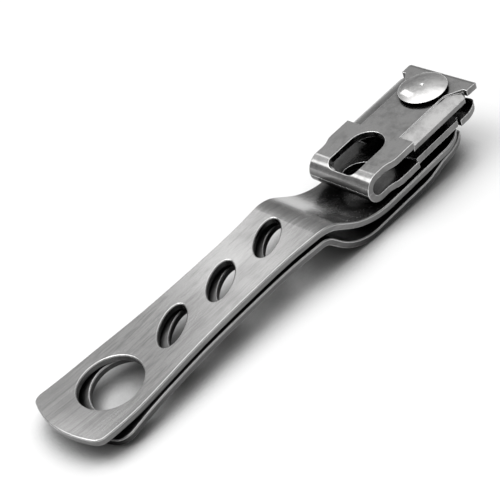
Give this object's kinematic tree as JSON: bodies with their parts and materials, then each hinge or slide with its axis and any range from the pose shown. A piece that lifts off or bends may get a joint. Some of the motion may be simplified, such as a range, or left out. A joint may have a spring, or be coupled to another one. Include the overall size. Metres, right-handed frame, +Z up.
{
  "type": "nail clipper",
  "caption": "Folding steel nail clipper: swivelling spring-strip head with two jaws, a domed pivot post and a pierced handle with a flip-out lever under it.",
  "frame": {"origin": "centre of the bounding box's bottom, on the table the folded clipper lies on", "axes": "+X towards the cutting edges along the clipper's length, +Y across it, +Z up from the table"},
  "size_m": [0.0802, 0.0148, 0.012],
  "materials": {
    "handle_steel": "brushed along its length, polished edges",
    "lever_steel": "brushed along its length",
    "jaw_steel": "satin deck, polished bend and ground edges",
    "post_steel": "polished dome",
    "pin_steel": "plain drawn wire",
    "washer_steel": "plain stamped"
  },
  "bodies": {
    "handle": {"handle": "handle_steel"},
    "head": {"lower_jaw": "jaw_steel"},
    "head_top": {"upper_jaw": "jaw_steel"},
    "washer": {"swivel_washer": "washer_steel"},
    "post": {"pivot_post": "post_steel", "cross_pin": "pin_steel"},
    "lever": {"lever": "lever_steel"}
  },
  "joints": [
    {"name": "head_swivel", "type": "hinge", "parent": "handle", "child": "head", "pos_m": [0.03522, 0.00026, 0.0066], "axis": [-0.0976, 0, 0.9952], "continuous": true},
    {"name": "jaw_squeeze", "type": "hinge", "parent": "head", "child": "head_top", "pos_m": [0.01568, 0.00026, 0.00657], "axis": [0, 1, 0], "range_deg": [0, 3.3], "stiffness_Nm_per_rad": 2},
    {"name": "lever_swing", "type": "hinge", "parent": "handle", "child": "washer", "pos_m": [0.03532, 0.00026, 0.00561], "axis": [-0.0976, 0, 0.9952], "continuous": true},
    {"name": "post_draw", "type": "slide", "parent": "washer", "child": "post", "axis": [0.0976, 0, -0.9952], "range_m": [0, 0.00111]},
    {"name": "lever_flip", "type": "hinge", "parent": "post", "child": "lever", "pos_m": [0.03567, 0.00026, 0.00202], "axis": [0.0078, -1, 0.0008], "range_deg": [0, 180]}
  ],
  "couplings": [
    {"joint": "jaw_squeeze", "follows": "post_draw", "rad_per_m": 51.41}
  ]
}
